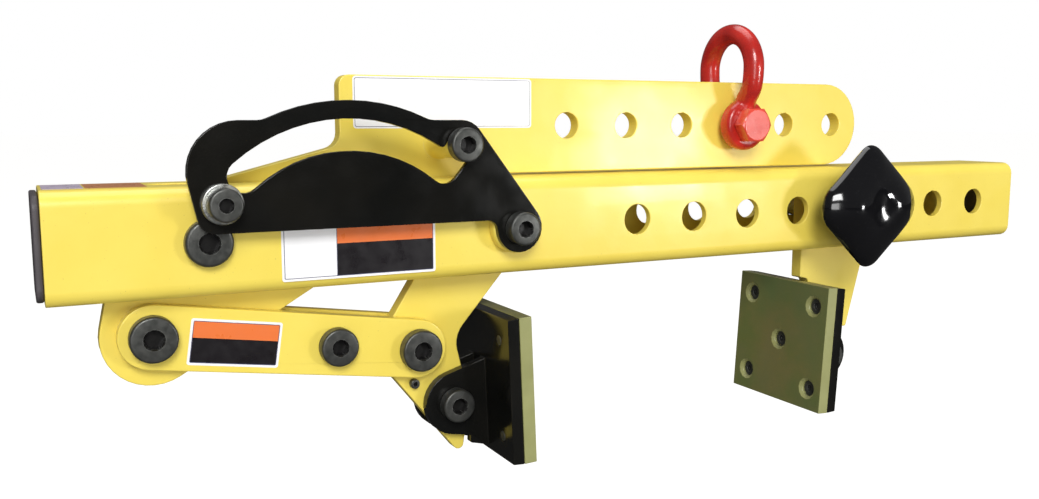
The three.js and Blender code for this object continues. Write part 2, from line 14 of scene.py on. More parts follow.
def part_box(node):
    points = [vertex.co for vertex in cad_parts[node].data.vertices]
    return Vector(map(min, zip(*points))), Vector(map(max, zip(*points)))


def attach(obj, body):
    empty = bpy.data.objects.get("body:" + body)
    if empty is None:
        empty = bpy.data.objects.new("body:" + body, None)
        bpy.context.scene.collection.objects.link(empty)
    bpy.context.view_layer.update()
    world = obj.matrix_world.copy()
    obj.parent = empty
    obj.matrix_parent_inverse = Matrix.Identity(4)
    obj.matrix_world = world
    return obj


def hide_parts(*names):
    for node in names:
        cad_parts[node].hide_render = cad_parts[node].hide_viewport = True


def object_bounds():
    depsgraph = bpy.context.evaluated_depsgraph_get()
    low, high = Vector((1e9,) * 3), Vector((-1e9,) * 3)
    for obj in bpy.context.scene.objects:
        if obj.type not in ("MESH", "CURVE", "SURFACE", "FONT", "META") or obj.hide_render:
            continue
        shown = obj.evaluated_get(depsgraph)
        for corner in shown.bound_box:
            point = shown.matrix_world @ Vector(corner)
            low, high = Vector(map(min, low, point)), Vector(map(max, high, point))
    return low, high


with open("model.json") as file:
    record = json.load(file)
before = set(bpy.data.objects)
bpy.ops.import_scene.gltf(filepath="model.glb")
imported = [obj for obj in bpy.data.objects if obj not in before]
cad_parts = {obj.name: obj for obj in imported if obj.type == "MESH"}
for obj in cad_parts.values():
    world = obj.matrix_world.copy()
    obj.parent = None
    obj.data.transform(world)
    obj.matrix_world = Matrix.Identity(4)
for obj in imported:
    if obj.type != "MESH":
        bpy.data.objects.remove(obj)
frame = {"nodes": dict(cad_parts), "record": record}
cad_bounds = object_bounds()

scene = bpy.context.scene
nodes = frame["nodes"]
bodies_of_nodes = frame["record"]["behaviour"]["bodies"]
slot_of_node = {entry["node"]: entry["material_slot"] for entry in frame["record"]["subparts"]}
MM = 0.001
TAU = 2 * math.pi
SIDES = 96  # sides of a turned piece, a multiple of six so that hexagons keep their corners


# ---------------------------------------------------------------- materials


class Finish:
    """One material, with short calls that add and join its nodes."""

    def __init__(self, name):
        self.material = bpy.data.materials.new(name)
        self.material.use_nodes = True
        self.tree = self.material.node_tree
        self.shader = self.tree.nodes["Principled BSDF"]
        self.place = self.add("ShaderNodeTexCoord").outputs["Object"]
        self.normal = None

    def add(self, kind, inputs=None, **settings):
        node = self.tree.nodes.new(kind)
        for key, value in settings.items():
            setattr(node, key, value)
        for key, value in (inputs or {}).items():
            self.feed(node.inputs[key], value)
        return node

    def feed(self, socket, value):
        if isinstance(value, bpy.types.NodeSocket):
            self.tree.links.new(value, socket)
        elif isinstance(value, tuple) and len(value) == 3 and socket.type == "RGBA":
            socket.default_value = (*value, 1)
        else:
            socket.default_value = value

    def set(self, **values):
        for key, value in values.items():
            self.feed(self.shader.inputs[key.replace("_", " ")], value)

    def noise(self, per_metre, detail=2.0, roughness=0.5, stretch=(1, 1, 1)):
        """Noise with about this many cells in a metre, drawn out along an axis by a small stretch value."""
        where = self.add("ShaderNodeMapping", {"Vector": self.place, "Scale": stretch})
        inputs = {"Vector": where.outputs[0], "Scale": per_metre, "Detail": detail, "Roughness": roughness}
        return self.add("ShaderNodeTexNoise", inputs).outputs["Fac"]

    def remap(self, value, low, high, to_low=0.0, to_high=1.0):
        inputs = {"Value": value, "From Min": low, "From Max": high, "To Min": to_low, "To Max": to_high}
        return self.add("ShaderNodeMapRange", inputs).outputs["Result"]

    def math(self, operation, a, b):
        return self.add("ShaderNodeMath", {0: a, 1: b}, operation=operation).outputs[0]

    def mix(self, factor, a, b):
        node = self.add("ShaderNodeMix", data_type="RGBA")
        self.feed(node.inputs["Factor"], factor)
        self.feed(node.inputs[6], a)
        self.feed(node.inputs[7], b)
        return node.outputs[2]

    def edges(self, radius, low=0.02, high=0.3):
        """A mask that is 1 along the edges, within about this radius."""
        soft = self.add("ShaderNodeBevel", {"Radius": radius}, samples=4).outputs["Normal"]
        flat = self.add("ShaderNodeNewGeometry").outputs["Normal"]
        dot = self.add("ShaderNodeVectorMath", {0: soft, 1: flat}, operation="DOT_PRODUCT")
        return self.remap(self.math("SUBTRACT", 1.0, dot.outputs["Value"]), low, high)

    def own_normal(self):
        """The surface's direction in the piece's own axes, so that it stays put when the piece moves."""
        world = self.add("ShaderNodeNewGeometry").outputs["Normal"]
        node = self.add("ShaderNodeVectorTransform", {"Vector": world},
                        vector_type="NORMAL", convert_from="WORLD", convert_to="OBJECT")
        return self.add("ShaderNodeSeparateXYZ", {"Vector": node.outputs[0]}).outputs

    def bump(self, height, depth, strength=1.0):
        """Adds relief of this depth, on top of any relief already added."""
        inputs = {"Height": height, "Distance": depth, "Strength": strength}
        if self.normal:
            inputs["Normal"] = self.normal
        self.normal = self.add("ShaderNodeBump", inputs).outputs["Normal"]
        self.set(Normal=self.normal)


def painted(name, colour, shade, worn, roughness, peel, coat=0.0, level=0.5):
    """Sprayed paint: a slightly uneven coat, orange peel, specks of dirt and thinner paint on the edges."""
    finish = Finish(name)
    uneven = finish.remap(finish.noise(16, detail=5), 0.35, 0.65)
    coat_colour = finish.mix(uneven, colour, shade)
    specks = finish.remap(finish.noise(650, detail=1), 0.74, 0.80, 0.0, 0.35)
    coat_colour = finish.mix(specks, coat_colour, tuple(part * 0.35 for part in shade))
    rubbed = finish.math("MULTIPLY", finish.edges(1.1 * MM), finish.remap(finish.noise(70, 4), 0.42, 0.66))
    coat_colour = finish.mix(rubbed, coat_colour, worn)
    finish.set(Base_Color=coat_colour)
    finish.set(Roughness=finish.remap(finish.noise(45, detail=3), 0.3, 0.7, *roughness))
    finish.set(Coat_Weight=coat, Coat_Roughness=0.12, Specular_IOR_Level=level)
    finish.bump(finish.noise(330, detail=2), peel)
    finish.bump(finish.noise(28, detail=2), 4 * peel, 0.5)
    return finish.material


def yellow_paint():
    return painted("yellow_paint", (0.90, 0.725, 0.122), (0.86, 0.675, 0.100), (0.95, 0.83, 0.36),
                   (0.28, 0.42), 0.05 * MM, coat=0.2)


def black_paint():
    return painted("black_paint", (0.0045, 0.0048, 0.0045), (0.009, 0.0085, 0.007), (0.07, 0.065, 0.05),
                   (0.10, 0.20), 0.035 * MM, level=0.38)


def red_paint(name, colour, shade, relief):
    """Thick gloss paint over forged or turned steel, with this depth of relief."""
    finish = Finish(name)
    uneven = finish.remap(finish.noise(45, detail=4), 0.35, 0.65)
    colour = finish.mix(uneven, colour, shade)
    rubbed = finish.math("MULTIPLY", finish.edges(1.3 * MM), finish.remap(finish.noise(120, 3), 0.5, 0.7))
    colour = finish.mix(rubbed, colour, (0.72, 0.13, 0.07))
    finish.set(Base_Color=colour, Roughness=finish.remap(finish.noise(90), 0.3, 0.7, 0.16, 0.34))
    finish.set(Coat_Weight=0.35, Coat_Roughness=0.08)
    finish.bump(finish.noise(85, detail=3), relief, 0.7)
    finish.bump(finish.noise(420, detail=2), 0.22 * relief, 0.8)
    return finish.material


def black_steel():
    """Black-oxide steel, rubbed lighter on its edges, with turning marks."""
    finish = Finish("black_steel")
    cloud = finish.remap(finish.noise(140, detail=4), 0.3, 0.7)
    colour = finish.mix(cloud, (0.070, 0.073, 0.068), (0.115, 0.116, 0.108))
    colour = finish.mix(finish.edges(0.9 * MM, 0.02, 0.22), colour, (0.32, 0.325, 0.31))
    finish.set(Base_Color=colour, Metallic=0.72)
    finish.set(Roughness=finish.remap(finish.noise(260, detail=3), 0.3, 0.7, 0.30, 0.50))
    finish.bump(finish.noise(900, detail=2), 0.03 * MM)
    return finish.material


def socket_painted_shade():
    """Painted shade inside a socket: a near-black, faintly mottled finish for the dark of a deep hole."""
    finish = Finish("socket_painted_shade")
    finish.set(Base_Color=finish.mix(finish.noise(400, 2), (0.006, 0.006, 0.006), (0.018, 0.017, 0.016)))
    finish.set(Roughness=0.30, Metallic=0.3)
    finish.bump(finish.noise(900, detail=2), 0.03 * MM)
    return finish.material


def zinc_steel():
    """Bright zinc plate with faint spangle and fine scratches."""
    finish = Finish("zinc_steel")
    cells = finish.add("ShaderNodeTexVoronoi", {"Vector": finish.place, "Scale": 420.0})
    spangle = finish.remap(cells.outputs["Distance"], 0.0, 0.8)
    colour = finish.mix(spangle, (0.56, 0.57, 0.54), (0.40, 0.41, 0.395))
    colour = finish.mix(finish.remap(finish.noise(60, 4), 0.5, 0.7, 0, 0.5), colour, (0.62, 0.58, 0.46))
    finish.set(Base_Color=colour, Metallic=0.9)
    finish.set(Roughness=finish.remap(finish.noise(180, detail=4), 0.3, 0.7, 0.22, 0.42))
    finish.bump(finish.noise(700, detail=3, stretch=(1, 0.12, 1)), 0.04 * MM)
    return finish.material


def friction_lining():
    """A moulded olive lining with light and shade painted on by which way a face points: painted shade on its
    gripping face, painted light on its edges, and a painted shade between the two on its top.
    """
    finish = Finish("friction_lining")
    cloud = finish.remap(finish.noise(24, detail=4), 0.35, 0.65)
    # painted shade: the gripping face gets a darker copy of the lining's colour, mottled at random
    face = finish.mix(cloud, (0.140, 0.162, 0.042), (0.195, 0.165, 0.055))
    face = finish.mix(finish.remap(finish.noise(9, 2), 0.45, 0.62, 0, 0.6), face, (0.105, 0.152, 0.055))
    # painted light: the edges get a paler copy of the lining's colour
    rim = finish.mix(cloud, (0.335, 0.340, 0.135), (0.275, 0.280, 0.105))
    # painted shade on the top, between the face and the edges
    top = finish.mix(cloud, (0.210, 0.212, 0.105), (0.160, 0.165, 0.080))
    # each face takes its painted light or shade from the way it points in the piece's own axes
    towards = finish.own_normal()
    colour = finish.mix(finish.remap(towards["Z"], 0.6, 0.9), rim, top)
    facing = finish.math("ABSOLUTE", towards["X"], 0.0)
    colour = finish.mix(finish.remap(facing, 0.86, 0.97), colour, face)
    colour = finish.mix(finish.edges(0.7 * MM, 0.05, 0.3), colour, (0.42, 0.42, 0.19))
    finish.set(Base_Color=colour, Roughness=finish.remap(finish.noise(90, 3), 0.3, 0.7, 0.30, 0.50))
    finish.set(Specular_IOR_Level=0.55)
    finish.bump(finish.noise(600, detail=3), 0.05 * MM)
    finish.bump(finish.noise(38, detail=2), 0.25 * MM, 0.4)
    return finish.material


def grey_plastic():
    finish = Finish("grey_plastic")
    colour = finish.mix(finish.noise(60, detail=4), (0.055, 0.048, 0.054), (0.085, 0.074, 0.082))
    colour = finish.mix(finish.edges(1.2 * MM), colour, (0.14, 0.13, 0.135))
    finish.set(Base_Color=colour, Roughness=finish.remap(finish.noise(300, 2), 0.3, 0.7, 0.42, 0.62))
    finish.bump(finish.noise(1400, detail=2), 0.06 * MM)
    return finish.material


def gloss_black_plastic():
    """Polished knob plastic with a little dust and slight waviness."""
    finish = Finish("gloss_black_plastic")
    dust = finish.remap(finish.noise(900, detail=1), 0.72, 0.80, 0, 0.5)
    finish.set(Base_Color=finish.mix(dust, (0.0045, 0.0045, 0.0055), (0.06, 0.06, 0.065)))
    finish.set(Roughness=finish.remap(finish.noise(55, detail=4), 0.35, 0.7, 0.05, 0.17))
    finish.set(Coat_Weight=0.4, Coat_Roughness=0.05)
    finish.bump(finish.noise(26, detail=1), 0.20 * MM, 0.5)
    return finish.material


def label_vinyl(name, colour):
    """Printed vinyl film with a faint grain, a dull sheen and yellowed patches."""
    finish = Finish(name)
    aged = tuple(part * 0.95 for part in colour)
    print_colour = finish.mix(finish.remap(finish.noise(40, detail=4), 0.4, 0.7), colour, aged)
    finish.set(Base_Color=print_colour, Roughness=finish.remap(finish.noise(120), 0.3, 0.7, 0.25, 0.40))
    finish.bump(finish.noise(800, detail=2), 0.01 * MM)
    return finish.material


finishes = {
    "yellow_paint": yellow_paint(),
    "black_paint": black_paint(),
    "red_paint": red_paint("red_paint", (0.60, 0.030, 0.020), (0.40, 0.014, 0.010), 0.45 * MM),
    # the bolt's red has finer relief than the bow's, and a brighter colour that is painted light on its head
    "red_bolt": red_paint("bolt_red_with_painted_light", (0.76, 0.080, 0.048), (0.64, 0.050, 0.030), 0.09 * MM),
    "black_steel": black_steel(),
    "socket_painted_shade": socket_painted_shade(),
    "zinc_steel": zinc_steel(),
    "friction_lining": friction_lining(),
    "grey_plastic": grey_plastic(),
    "gloss_black_plastic": gloss_black_plastic(),
}
vinyl = {
    "white": label_vinyl("vinyl_white", (0.93, 0.93, 0.94)),
    "black": label_vinyl("vinyl_black", (0.009, 0.007, 0.009)),
    "orange": label_vinyl("vinyl_orange", (0.83, 0.19, 0.045)),
    "lilac": label_vinyl("vinyl_lilac", (0.52, 0.44, 0.55)),
    "slate": label_vinyl("vinyl_slate", (0.09, 0.09, 0.16)),
    "brown": label_vinyl("vinyl_brown", (0.50, 0.20, 0.08)),
}


# ---------------------------------------------------------------- pieces in general


def body_of(node):
    return next(body for body, members in bodies_of_nodes.items() if node in members)


def middle(node):
    low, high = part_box(node)
    return (low + high) / 2


def new_piece(name, vertices, faces):
    """A mesh piece with clean normals, smooth where it is round and sharp at its corners."""
    mesh = bpy.data.meshes.new(name)
    mesh.from_pydata(vertices, [], faces)
    shape = bmesh.new()
    shape.from_mesh(mesh)
    bmesh.ops.remove_doubles(shape, verts=shape.verts, dist=1e-6)
    bmesh.ops.recalc_face_normals(shape, faces=shape.faces)
    shape.to_mesh(mesh)
    shape.free()
    mesh.shade_smooth()
    mesh.set_sharp_from_angle(angle=math.radians(32))
    piece = bpy.data.objects.new(name, mesh)
    scene.collection.objects.link(piece)
    return piece


def stand_for(piece, node, second=None):
    """The piece takes the CAD node's place, body and finish. A second finish goes to its other faces."""
    piece.data.materials.append(finishes[slot_of_node[node]])
    if second:
        piece.data.materials.append(finishes[second])
    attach(piece, body_of(node))
    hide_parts(node)
    return piece


def round_edges(node, width, segments=3):
    """Rounds a CAD plate's edges, keeps its flats flat and gives it its finish."""
    cad = nodes[node]
    cad.data.materials.clear()
    cad.data.materials.append(finishes[slot_of_node[node]])
    for polygon in cad.data.polygons:
        polygon.use_smooth = True
    weld = cad.modifiers.new("weld", "WELD")
    weld.merge_threshold = 0.01 * MM
    bevel = cad.modifiers.new("edges", "BEVEL")
    bevel.width = width
    bevel.segments = segments
    bevel.limit_method = "ANGLE"
    bevel.angle_limit = math.radians(40)
    bevel.use_clamp_overlap = False
    flats = cad.modifiers.new("flats", "WEIGHTED_NORMAL")
    flats.weight = 100
    flats.keep_sharp = False


def turned(name, centre, rings, hollow=False, sides=SIDES):
    """A piece turned about an axis along Y, from rings of (y, radius).

    A radius may be a function of the angle. The last ring of a hollow piece joins its first.
    """
    vertices = []
    for y, radius in rings:
        for step in range(sides):
            angle = TAU * step / sides
            reach = radius(angle) if callable(radius) else radius
            vertices.append((centre.x + reach * math.cos(angle), y, centre.z + reach * math.sin(angle)))
    levels = len(rings)
    faces = []
    for level in range(levels if hollow else levels - 1):
        near, far = level * sides, (level + 1) % levels * sides
        for step in range(sides):
            after = (step + 1) % sides
            faces.append((near + step, near + after, far + after, far + step))
    if not hollow:
        faces.append(tuple(range(sides)))
        faces.append(tuple(range((levels - 1) * sides, levels * sides)))
    return new_piece(name, vertices, faces)


def hexagon(flats, turn=0.0):
    """The radius of a hexagon this wide across its flats, as a function of the angle."""
    sixth = TAU / 6

    def radius(angle):
        return flats / 2 / math.cos((angle + turn) % sixth - sixth / 2)

    return radius


def smaller(first, second):
    """The lesser of two radii, of which the first is a function of the angle."""
    return lambda angle: min(first(angle), second)


def rounded_edge(y_face, y_side, radius, edge, steps=4):
    """Rings that round the corner from a flat face at y_face to a cylinder, bulging outwards."""
    sign = 1 if y_side > y_face else -1
    rings = []
    for step in range(steps + 1):
        angle = TAU / 4 * step / steps
        rings.append((y_face + sign * edge * (1 - math.sin(angle)), radius - edge * (1 - math.cos(angle))))
    return rings[::-1]


def chamfer_rings(face, flats):
    """Rings of a hexagon's 30-degree chamfer, from a flat round face back to the hexagon's corners."""
    full = hexagon(flats)
    start = 0.94 * flats / 2
    corner = flats / 2 / math.cos(TAU / 12)
    steps = 8
    rings = [(face, start - 0.4 * MM)]
    for step in range(steps + 1):
        reach = start + (corner - start) * step / steps
        rings.append((face + (reach - start) * math.tan(TAU / 12), smaller(full, reach)))
    return rings


# ---------------------------------------------------------------- bolts and nuts


def knurled(radius, count=48, depth=0.32 * MM):
    """A radius with fine grooves along the side of a bolt head."""
    return lambda angle: radius - depth * (0.5 + 0.5 * math.cos(count * angle))


def thread(y0, y1, radius, pitch=1.75 * MM):
    """Rings of a screw thread between two places on a shank."""
    depth = 0.5 * MM
    turns = max(1, round(abs(y1 - y0) / pitch))
    rings = []
    for turn in range(turns):
        rings.append((y0 + (y1 - y0) * turn / turns, radius))
        rings.append((y0 + (y1 - y0) * (turn + 0.5) / turns, radius - depth))
    return rings


def socket_bolt(node, head_height, grooved=False, edge=1.8 * MM, socket_share=0.84):
    """A socket-head bolt along Y with its head on the latch side and its thread at the back."""
    low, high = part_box(node)
    centre = (low + high) / 2
    radius = (high.x - low.x) / 2
    socket = socket_share * radius
    front = low.y
    seat = front + head_height
    shank = min(9.5 * MM, 0.58 * radius)
    side = knurled(radius) if grooved else radius
    rings = socket_rings(front, socket, 0.7 * head_height)
    rings += rounded_edge(front, seat, radius, edge)
    rings += [(front + edge + 0.4 * MM, side), (seat - 1.0 * MM, side), (seat - 0.5 * MM, radius)]
    rings += [(seat, radius - 0.5 * MM)]
    if high.y - seat > 4 * MM:
        tail = high.y
        threaded = min(24 * MM, 0.4 * (tail - seat))
        rings += [(seat, shank), (tail - threaded, shank)]
        rings += thread(tail - threaded, tail - 1.2 * MM, shank)
        rings += [(tail, shank - 1.4 * MM)]
    sides = 144 if grooved else SIDES
    bolt = stand_for(turned(node + "_fine", centre, rings, sides=sides), node)
    # painted shade inside the socket
    paint_socket_shade(bolt, centre, socket * 0.56, seat)


def socket_rings(front, flats, depth):
    """Rings of a hexagon socket from its flat bottom to a short, steep countersink at the front."""
    return [(front + depth, 0.2 * MM), (front + depth, hexagon(flats * 0.98)),
            (front + 1.2 * MM, hexagon(flats)), (front, flats * 0.60)]


def paint_socket_shade(piece, centre, reach, deepest):
    """The faces inside a socket get painted shade, a near-black finish for the dark of a deep hole."""
    piece.data.materials.append(finishes["socket_painted_shade"])
    last = len(piece.data.materials) - 1
    for polygon in piece.data.polygons:
        across = math.hypot(polygon.center.x - centre.x, polygon.center.z - centre.z)
        if across < reach and polygon.center.y < deepest:
            polygon.material_index = last


def hex_nut(node, bore):
    """A chamfered hexagon nut along Y with a washer face."""
    low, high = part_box(node)
    flats = (high.z - low.z) * math.cos(TAU / 12)
    full = hexagon(flats, TAU / 12)
    worn = smaller(full, flats / 2 * 1.02)
    chamfer = 1.4 * MM
    rings = [(low.y, bore), (low.y, flats / 2 * 0.97), (low.y + 0.5 * MM, flats / 2 * 0.97)]
    rings += [(low.y + 0.5 * MM, worn), (low.y + chamfer, full), (high.y - chamfer, full)]
    rings += [(high.y, worn), (high.y, bore + 1.2 * MM), (high.y - 1.2 * MM, bore)]
    stand_for(turned(node + "_fine", middle(node), rings, hollow=True), node)


def sleeve(node, bore, edge=0.8 * MM):
    """A ring along Y with rounded ends."""
    low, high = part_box(node)
    radius = (high.x - low.x) / 2
    rings = [(low.y, bore)] + rounded_edge(low.y, high.y, radius, edge)
    rings += rounded_edge(high.y, low.y, radius, edge)[::-1] + [(high.y, bore)]
    stand_for(turned(node + "_fine", middle(node), rings, hollow=True), node)


def fasteners():
    for node in ("link_arm_bolt", "link_jaw_bolt", "link_spacer_bolt"):
        socket_bolt(node, 10 * MM, socket_share=0.76)
    for node in ("moving_jaw_bolt", "fixed_jaw_bolt", "jaw_pivot_bolt"):
        socket_bolt(node, 10 * MM, grooved=True)
    socket_bolt("arm_pivot_bolt", 8 * MM, edge=2.4 * MM, socket_share=0.76)
    socket_bolt("jaw_stop_screw", 5 * MM, edge=0.7 * MM)
    wide = 9.65 * MM
    narrow = 8.15 * MM
    nut_bores = {
        "arm_pivot_nut": wide, "jaw_pivot_nut": wide, "link_arm_nut": wide, "link_jaw_nut": wide,
        "moving_jaw_nut": wide, "fixed_jaw_nut": wide, "shackle_nut": wide,
        "link_spacer_nut": narrow, "latch_knob_nut": 4.15 * MM,
    }
    for node, bore in nut_bores.items():
        hex_nut(node, bore)
    for side in ("front", "back"):
        sleeve(f"arm_pivot_spacer_{side}", wide)
        sleeve(f"jaw_pivot_spacer_{side}", wide)
    sleeve("link_spacer", narrow)
    sleeve("jaw_pivot_boss", wide, edge=1.6 * MM)


# ---------------------------------------------------------------- plates


def plates():
    for node in ("lift_arm", "link_front", "link_back", "jaw_lever", "fixed_leg"):
        round_edges(node, 0.9 * MM)
    round_edges("beam_tube", 0.7 * MM)
    round_edges("latch_plate", 0.5 * MM)
    for side in ("left", "right"):
        round_edges(f"end_plug_{side}", 1.3 * MM)
    for jaw in ("moving_jaw", "fixed_jaw"):
        round_edges(f"{jaw}_bracket", 0.7 * MM)
        round_edges(f"{jaw}_pad", 0.6 * MM)
        for number in range(1, 6):
            round_edges(f"{jaw}_pad_screw_{number}", 0.3 * MM, segments=2)


# ---------------------------------------------------------------- latch roller and latch knob


def latch_roller():
    """The roller's boss on the lift arm and the bolt head that runs in front of the latch plate."""
    low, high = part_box("latch_roller_boss")
    radius = (high.x - low.x) / 2
    rings = rounded_edge(low.y, high.y, radius, 1.2 * MM)
    rings += [(high.y - 3 * MM, radius), (high.y - 1.5 * MM, radius + 0.8 * MM), (high.y, radius + 2.4 * MM)]
    rings = [(low.y, 0.2 * MM)] + rings + [(high.y, 0.2 * MM)]
    stand_for(turned("latch_roller_boss_fine", middle("latch_roller_boss"), rings), "latch_roller_boss")
    socket_bolt("latch_roller_bolt", 10 * MM, grooved=True)


def latch_knob():
    """A zinc collar and sleeve on the latch plate, closed by a dark socket head."""
    low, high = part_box("latch_knob")
    centre = (low + high) / 2
    radius = (high.x - low.x) / 2
    body = 0.84 * radius
    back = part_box("latch_plate")[0].y
    front = low.y
    cap = front + 5.5 * MM
    socket = 0.72 * body
    rings = socket_rings(front, socket, 5 * MM)
    rings += rounded_edge(front, cap, body * 0.97, 1.6 * MM)
    rings += [(cap, body * 0.97), (cap, body * 0.99)]
    dark_levels = len(rings) - 1
    collar = back - 5 * MM
    rings += [(cap + 0.5 * MM, body), (collar, body)]
    rings += rounded_edge(collar, back, radius, 1.0 * MM)
    rings += [(back - 0.3 * MM, radius), (back - 0.3 * MM, 4 * MM)]
    rings += [(high.y - 1 * MM, 4 * MM), (high.y, 3 * MM)]
    piece = turned("latch_knob_fine", centre, rings)
    stand_for(piece, "latch_knob", second="black_steel")
    edge_of_cap = rings[dark_levels][0] + 0.01 * MM
    for polygon in piece.data.polygons:
        if polygon.center.y < edge_of_cap:
            polygon.material_index = 1
    # painted shade inside the socket
    paint_socket_shade(piece, centre, socket * 0.56, front + 7 * MM)


# ---------------------------------------------------------------- adjusting pin and its knob


def adjusting_pin():
    low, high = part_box("adjust_pin")
    beam_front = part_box("beam_tube")[0].y
    shaft = 11.9 * MM
    collar = (high.x - low.x) / 2
    groove = high.y - 9 * MM
    rings = [(low.y, 0.2 * MM)] + rounded_edge(low.y, beam_front, collar, 1 * MM)
    rings += rounded_edge(beam_front - 0.3 * MM, low.y, collar, 1 * MM)[::-1]
    rings += [(beam_front - 0.3 * MM, shaft), (groove - 2 * MM, shaft), (groove - 1 * MM, shaft - 1.4 * MM)]
    rings += [(groove + 1 * MM, shaft - 1.4 * MM), (groove + 2 * MM, shaft), (high.y - 5 * MM, shaft)]
    rings += [(high.y, shaft - 5 * MM), (high.y, 0.2 * MM)]
    stand_for(turned("adjust_pin_fine", middle("adjust_pin"), rings), "adjust_pin")


def cushion(reach, side_corner, end_corner):
    """The radius of a square on its corner, as a function of the angle.

    Its left and right corners have one radius and its top and bottom corners another.
    """
    side_centre = reach - side_corner
    end_centre = reach - end_corner
    span = math.hypot(side_centre, end_centre)
    facing = math.acos((end_corner - side_corner) / span) - math.atan2(end_centre, side_centre)
    edge = side_centre * math.cos(facing) + side_corner
    side_stops = math.atan2(side_corner * math.sin(facing), side_centre + side_corner * math.cos(facing))
    end_starts = math.atan2(end_centre + end_corner * math.sin(facing), end_corner * math.cos(facing))

    def radius(angle):
        off = math.atan2(abs(math.sin(angle)), abs(math.cos(angle)))
        if off < side_stops:
            inside = side_corner**2 - (side_centre * math.sin(off)) ** 2
            return side_centre * math.cos(off) + math.sqrt(max(0.0, inside))
        if off > end_starts:
            inside = end_corner**2 - (end_centre * math.cos(off)) ** 2
            return end_centre * math.sin(off) + math.sqrt(max(0.0, inside))
        return edge / math.cos(off - facing)

    return radius


def adjusting_knob():
    """A cushion-shaped square knob on its corner: a soft dome with a lobe on each side of a shallow dish."""
    low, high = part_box("adjust_knob")
    centre = (low + high) / 2
    reach = (high.z - low.z) / 2
    outline = cushion(reach, side_corner=24 * MM, end_corner=14 * MM)
    thick = high.y - low.y
    levels = 30
    rim = 0.15  # share of the thickness taken by the rim behind the dome
    crown = 0.86  # share of the thickness that the dome reaches before the lobes are added

    def skin(share):
        """The outline at this share of the way out, which is rounder towards the middle."""
        return lambda angle: share * (share * outline(angle) + (1 - share) * 0.80 * reach)

    rings = [(high.y, 0.2 * MM), (high.y, lambda angle: 0.90 * outline(angle))]
    rings += [(high.y - 0.05 * thick, lambda angle: 0.97 * outline(angle))]
    for level in range(levels + 1):
        turn = TAU / 4 * level / levels
        share = max(0.004, math.cos(turn))
        rings.append((high.y - thick * (rim + (crown - rim) * math.sin(turn)), skin(share)))
    piece = turned("adjust_knob_fine", centre, rings, sides=144)
    lobe_out = 0.50 * reach
    lobe_width, lobe_height, lobe_rise = 0.30 * reach, 0.36 * reach, 4.5 * MM
    dish_width, dish_depth = 0.24 * reach, 3.0 * MM
    for vertex in piece.data.vertices:
        if high.y - vertex.co.y > rim * thick:
            across, up = vertex.co.x - centre.x, vertex.co.z - centre.z
            lobe = math.exp(-(((abs(across) - lobe_out) / lobe_width) ** 2) - (up / lobe_height) ** 2)
            dish = math.exp(-((math.hypot(across, up) / dish_width) ** 2))
            vertex.co.y += dish_depth * dish - lobe_rise * lobe
    stand_for(piece, "adjust_knob")


# ---------------------------------------------------------------- shackle


def swept(points, radius, sides=20):
    """Vertices and faces of a round rod through the points, closed at both ends."""
    vertices, faces = [], []
    side = None
    for index, point in enumerate(points):
        before, after = points[max(0, index - 1)], points[min(len(points) - 1, index + 1)]
        along = (after - before).normalized()
        if side is None:
            side = along.orthogonal().normalized()
        side = (side - along * side.dot(along)).normalized()
        up = along.cross(side)
        for step in range(sides):
            angle = TAU * step / sides
            vertices.append(point + radius * (math.cos(angle) * side + math.sin(angle) * up))
        if index:
            for step in range(sides):
                after_step = (step + 1) % sides
                base = (index - 1) * sides
                faces.append((base + step, base + after_step, base + sides + after_step, base + sides + step))
    faces.append(tuple(range(sides)))
    faces.append(tuple(range(len(vertices) - sides, len(vertices))))
    return vertices, faces


def smooth_path(corners, steps=8):
    """A Catmull-Rom curve through the corners."""
    ends = [2 * corners[0] - corners[1], *corners, 2 * corners[-1] - corners[-2]]
    path = []
    for before, start, end, after in zip(ends, ends[1:], ends[2:], ends[3:]):
        for step in range(steps):
            t = step / steps
            path.append(0.5 * (2 * start + (end - before) * t
                               + (2 * before - 5 * start + 4 * end - after) * t**2
                               + (3 * start - before - 3 * end + after) * t**3))
    return path + [corners[-1]]


def shackle_bow():
    """A forged bow: a round rod that swells into two flat eyes, melted into one skin."""
    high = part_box("shackle_bow")[1]
    centre = middle("shackle_bolt")
    rod = 9 * MM
    spread = high.y - rod
    crown = high.z - rod - spread
    eye_inner = 13.45 * MM
    eye_outer = 26.45 * MM
    eye_middle = (eye_inner + eye_outer) / 2
    leg = [(eye_middle, centre.z + 4 * MM), (eye_middle + 1 * MM, centre.z + 20 * MM),
           (spread - 2 * MM, crown - 17 * MM)]
    arch_steps = 10
    turns = [TAU / 2 * step / arch_steps for step in range(arch_steps + 1)]
    arch = [(spread * math.cos(turn), crown + spread * math.sin(turn)) for turn in turns]
    corners = leg + arch + [(-y, z) for y, z in reversed(leg)]
    path = smooth_path([Vector((centre.x, y, z)) for y, z in corners])
    vertices, faces = swept(path, rod, sides=32)
    bow = new_piece("shackle_bow_fine", vertices, faces)
    eyes = []
    for side in (-1, 1):
        inner, outer = side * eye_inner, side * eye_outer
        rings = [(inner, 0.2 * MM)] + rounded_edge(inner, outer, high.x - centre.x, 2 * MM)
        rings += rounded_edge(outer, inner, high.x - centre.x, 5 * MM)[::-1] + [(outer, 0.2 * MM)]
        eyes.append(turned(f"shackle_eye{side}", Vector((centre.x, 0, centre.z)), rings))
    with bpy.context.temp_override(active_object=bow, selected_editable_objects=[bow, *eyes]):
        bpy.ops.object.join()
    melt(bow, voxel=1.1 * MM, smoothing=9)
    stand_for(bow, "shackle_bow")


